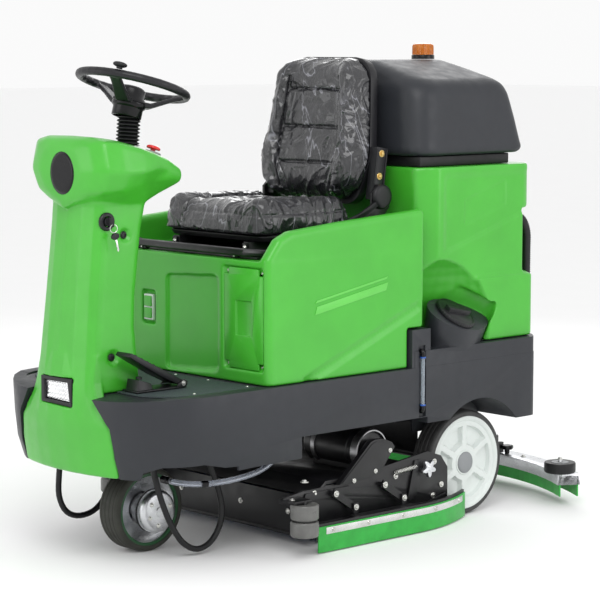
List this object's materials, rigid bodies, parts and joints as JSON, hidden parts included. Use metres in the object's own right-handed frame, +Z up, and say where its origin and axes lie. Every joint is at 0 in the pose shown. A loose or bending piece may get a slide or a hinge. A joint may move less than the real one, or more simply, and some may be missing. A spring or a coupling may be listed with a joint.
{
  "type": "ride-on floor scrubber",
  "caption": "Battery ride-on floor scrubber with a steered drive wheel in front, a lifting deck with cylindrical brushes, an adjustable seat, a lidded recovery tank and a curved rear squeegee.",
  "frame": {"origin": "on the floor, under the middle of the machine's box", "axes": "+Z up, -Y towards the front of the machine, +X towards the operator's left"},
  "size_m": [0.996, 1.8759, 1.4912],
  "materials": {
    "green_moulded": "semi-gloss, slightly textured rotomoulded polyethylene",
    "dark_moulded": "satin rotomoulded polyethylene with a fine texture",
    "black_plastic": "satin black moulded plastic",
    "black_steel": "black powder coat",
    "aluminium": "brushed and anodised",
    "grey_tyre": "grey non-marking tread",
    "olive_tyre": "dark olive non-marking rubber",
    "white_rim": "off-white moulded nylon",
    "vinyl": "dark grey vinyl under a clear loose film",
    "rubber": "matte black rubber",
    "green_blade": "green polyurethane, slightly glossy",
    "amber": "translucent amber with moulded ribs",
    "red": "glossy red moulding",
    "lens": "clear moulded lens",
    "bristle": "dense blue polypropylene bristle",
    "grey_plastic": "matte grey moulding",
    "clear_tube": "clear flexible tube"
  },
  "bodies": {
    "chassis": {"chassis_frame": "black_steel", "base_shell": "dark_moulded", "platform_mat": "rubber", "front_column": "green_moulded", "headlight_bezel": "black_plastic", "headlight_lens": "lens", "level_tube": "clear_tube", "steering_bellows": "rubber", "pedal_base": "black_plastic", "battery_pack": "black_plastic", "seat_box": "green_moulded", "front_hatch_cover": "green_moulded", "recovery_tank": "green_moulded", "tank_gasket": "rubber", "drain_hose": "rubber", "motor_cable_left": "rubber", "motor_cable_right": "rubber"},
    "drive_unit": {"drive_fork": "black_steel", "hub_motor": "aluminium"},
    "drive_wheel": {"drive_tyre": "olive_tyre", "drive_rim": "aluminium"},
    "steering": {"steering_wheel": "black_plastic"},
    "spinner": {"spinner_knob": "black_plastic"},
    "key": {"ignition_key": "black_plastic"},
    "estop": {"estop_button": "red"},
    "pedal": {"throttle_pedal": "black_plastic"},
    "seat_mount": {"seat_plate": "black_steel"},
    "seat": {"seat_pan": "black_steel", "seat_cushion": "vinyl"},
    "backrest": {"backrest_shell": "black_plastic", "backrest_cushion": "vinyl"},
    "recliner": {"recliner_lever": "black_plastic"},
    "lid": {"tank_lid": "dark_moulded", "beacon": "amber"},
    "deck": {"brush_deck": "black_steel", "brush_motor": "grey_plastic", "belt_guard": "black_steel"},
    "front_brush": {"brush_front": "bristle"},
    "rear_brush": {"brush_rear": "bristle"},
    "tensioner": {"tension_knob": "grey_plastic"},
    "squeegee": {"squeegee_arm": "black_steel", "squeegee_channel": "aluminium", "squeegee_blade_front": "green_blade", "squeegee_blade_rear": "green_blade"},
    "rear_wheel_left": {"rear_tyre_left": "grey_tyre", "rear_rim_left": "white_rim"},
    "filler_left": {"filler_cap_left": "black_plastic"},
    "bumper_left": {"bumper_roller_left": "grey_plastic"},
    "link_front_left": {"side_link_front_left": "black_steel"},
    "link_rear_left": {"side_link_rear_left": "black_steel"},
    "side_blade_left": {"side_squeegee_left": "green_blade"},
    "end_roller_left": {"squeegee_roller_left": "rubber"},
    "rear_wheel_right": {"rear_tyre_right": "grey_tyre", "rear_rim_right": "white_rim"},
    "filler_right": {"filler_cap_right": "black_plastic"},
    "bumper_right": {"bumper_roller_right": "grey_plastic"},
    "link_front_right": {"side_link_front_right": "black_steel"},
    "link_rear_right": {"side_link_rear_right": "black_steel"},
    "side_blade_right": {"side_squeegee_right": "green_blade"},
    "end_roller_right": {"squeegee_roller_right": "rubber"}
  },
  "joints": [
    {"name": "fork_steer", "type": "hinge", "parent": "chassis", "child": "drive_unit", "pos_m": [0, -0.647, 0.3], "axis": [0, 0, 1], "range_deg": [-75, 75]},
    {"name": "drive_wheel_spin", "type": "hinge", "parent": "drive_unit", "child": "drive_wheel", "pos_m": [0.022, -0.647, 0.1255], "axis": [1, 0, 0], "continuous": true},
    {"name": "steering_turn", "type": "hinge", "parent": "chassis", "child": "steering", "pos_m": [0, -0.66, 1.318], "axis": [0, 0.2756, 0.9613], "range_deg": [-240, 240]},
    {"name": "spinner_turn", "type": "hinge", "parent": "steering", "child": "spinner", "pos_m": [0.09063, -0.76603, 1.41779], "axis": [0, 0.2756, 0.9613], "continuous": true},
    {"name": "key_turn", "type": "hinge", "parent": "chassis", "child": "key", "pos_m": [0.118, -0.838, 0.988], "axis": [1, 0, 0], "range_deg": [0, 90]},
    {"name": "estop_press", "type": "slide", "parent": "chassis", "child": "estop", "axis": [-0.0569, -0.3129, -0.9481], "range_m": [0, 0.006]},
    {"name": "pedal_press", "type": "hinge", "parent": "chassis", "child": "pedal", "pos_m": [0.185, -0.646, 0.519], "axis": [1, 0, 0], "range_deg": [0, 12], "stiffness_Nm_per_rad": 6, "springref_deg": -8.59},
    {"name": "seat_tilt", "type": "hinge", "parent": "chassis", "child": "seat_mount", "pos_m": [0, -0.448, 0.886], "axis": [1, 0, 0], "range_deg": [0, 50]},
    {"name": "seat_slide", "type": "slide", "parent": "seat_mount", "child": "seat", "axis": [0, -1, 0], "range_m": [0, 0.08]},
    {"name": "backrest_recline", "type": "hinge", "parent": "seat", "child": "backrest", "pos_m": [0, 0.118, 1.022], "axis": [1, 0, 0], "range_deg": [-2, 12]},
    {"name": "recliner_lift", "type": "hinge", "parent": "seat", "child": "recliner", "pos_m": [0.254, 0.118, 1.022], "axis": [-1, 0, 0], "range_deg": [0, 14], "stiffness_Nm_per_rad": 1.5, "springref_deg": -17.19},
    {"name": "lid_hinge", "type": "hinge", "parent": "chassis", "child": "lid", "pos_m": [0, 0.68, 1.134], "axis": [-1, 0, 0], "range_deg": [0, 70]},
    {"name": "deck_lift", "type": "slide", "parent": "chassis", "child": "deck", "axis": [0, 0, 1], "range_m": [0, 0.045]},
    {"name": "front_brush_spin", "type": "hinge", "parent": "deck", "child": "front_brush", "pos_m": [0, -0.162, 0.082], "axis": [1, 0, 0], "continuous": true},
    {"name": "rear_brush_spin", "type": "hinge", "parent": "deck", "child": "rear_brush", "pos_m": [0, 0.118, 0.082], "axis": [1, 0, 0], "continuous": true},
    {"name": "tension_knob_turn", "type": "hinge", "parent": "deck", "child": "tensioner", "pos_m": [0.3632, 0.203, 0.183], "axis": [1, 0, 0], "range_deg": [-180, 180]},
    {"name": "squeegee_lift", "type": "hinge", "parent": "chassis", "child": "squeegee", "pos_m": [0, 0.618, 0.25], "axis": [1, 0, 0], "range_deg": [-5, 14]},
    {"name": "rear_wheel_left_spin", "type": "hinge", "parent": "chassis", "child": "rear_wheel_left", "pos_m": [0.2975, 0.418, 0.1675], "axis": [1, 0, 0], "continuous": true},
    {"name": "filler_cap_left_turn", "type": "hinge", "parent": "chassis", "child": "filler_left", "pos_m": [0.35667, 0.3402, 0.64898], "axis": [0.5549, 0.163, 0.8158], "range_deg": [0, 90]},
    {"name": "bumper_roller_left_spin", "type": "hinge", "parent": "deck", "child": "bumper_left", "pos_m": [0.449, -0.382, 0.116], "axis": [0, 0, 1], "continuous": true},
    {"name": "side_link_rear_left_swing", "type": "hinge", "parent": "deck", "child": "link_rear_left", "pos_m": [0.3815, 0.009, 0.158], "axis": [1, 0, 0], "range_deg": [0, 20]},
    {"name": "side_link_front_left_swing", "type": "hinge", "parent": "deck", "child": "link_front_left", "pos_m": [0.3815, -0.196, 0.158], "axis": [1, 0, 0], "range_deg": [0, 20]},
    {"name": "side_squeegee_left_level", "type": "hinge", "parent": "link_front_left", "child": "side_blade_left", "pos_m": [0.3815, -0.118, 0.108], "axis": [1, 0, 0], "range_deg": [-20, 0]},
    {"name": "squeegee_roller_left_spin", "type": "hinge", "parent": "squeegee", "child": "end_roller_left", "pos_m": [0.447, 0.746, 0.127], "axis": [0, 0, 1], "continuous": true},
    {"name": "rear_wheel_right_spin", "type": "hinge", "parent": "chassis", "child": "rear_wheel_right", "pos_m": [-0.2975, 0.418, 0.1675], "axis": [1, 0, 0], "continuous": true},
    {"name": "filler_cap_right_turn", "type": "hinge", "parent": "chassis", "child": "filler_right", "pos_m": [-0.35667, 0.3402, 0.64898], "axis": [-0.5549, 0.163, 0.8158], "range_deg": [0, 90]},
    {"name": "bumper_roller_right_spin", "type": "hinge", "parent": "deck", "child": "bumper_right", "pos_m": [-0.449, -0.382, 0.116], "axis": [0, 0, 1], "continuous": true},
    {"name": "side_link_rear_right_swing", "type": "hinge", "parent": "deck", "child": "link_rear_right", "pos_m": [-0.3815, 0.009, 0.158], "axis": [1, 0, 0], "range_deg": [0, 20]},
    {"name": "side_link_front_right_swing", "type": "hinge", "parent": "deck", "child": "link_front_right", "pos_m": [-0.3815, -0.196, 0.158], "axis": [1, 0, 0], "range_deg": [0, 20]},
    {"name": "side_squeegee_right_level", "type": "hinge", "parent": "link_front_right", "child": "side_blade_right", "pos_m": [-0.3815, -0.118, 0.108], "axis": [1, 0, 0], "range_deg": [-20, 0]},
    {"name": "squeegee_roller_right_spin", "type": "hinge", "parent": "squeegee", "child": "end_roller_right", "pos_m": [-0.447, 0.746, 0.127], "axis": [0, 0, 1], "continuous": true}
  ],
  "couplings": [
    {"joint": "steering_turn", "follows": "fork_steer", "ratio": 3.2},
    {"joint": "rear_brush_spin", "follows": "front_brush_spin", "ratio": -1},
    {"joint": "side_link_rear_left_swing", "follows": "side_link_front_left_swing", "ratio": 1},
    {"joint": "side_squeegee_left_level", "follows": "side_link_front_left_swing", "ratio": -1},
    {"joint": "side_link_rear_right_swing", "follows": "side_link_front_right_swing", "ratio": 1},
    {"joint": "side_squeegee_right_level", "follows": "side_link_front_right_swing", "ratio": -1}
  ]
}
